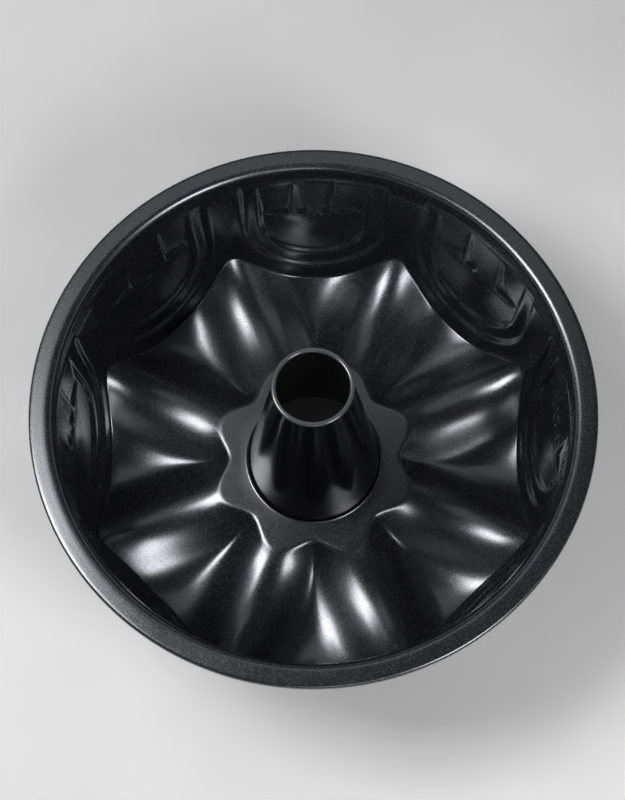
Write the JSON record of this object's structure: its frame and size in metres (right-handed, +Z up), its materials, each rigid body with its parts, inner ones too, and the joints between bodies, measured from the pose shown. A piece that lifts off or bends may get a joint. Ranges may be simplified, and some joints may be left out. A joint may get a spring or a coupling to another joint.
{
  "type": "bundt pan",
  "caption": "Round fluted ring-cake pan with arched window panels in its wall, a radially fluted floor, a rolled rim and an open tapered centre tube.",
  "frame": {"origin": "under the middle of the pan, on the plane its troughs rest on", "axes": "+Z up along the tube's axis, out of the pan's mouth; +X through the middle of one arched window panel"},
  "size_m": [0.26, 0.26, 0.1188],
  "materials": {
    "shell_coating": "graphite-black non-stick coating on pressed steel, satin with a fine sparkle",
    "tube_coating": "the same coating on the drawn tube, smoother and glossier",
    "wire_steel": "bare drawn steel wire, closed inside the rolled rim"
  },
  "bodies": {
    "root": {"pan_shell": "shell_coating", "centre_tube": "tube_coating", "rim_wire": "wire_steel"}
  },
  "joints": []
}
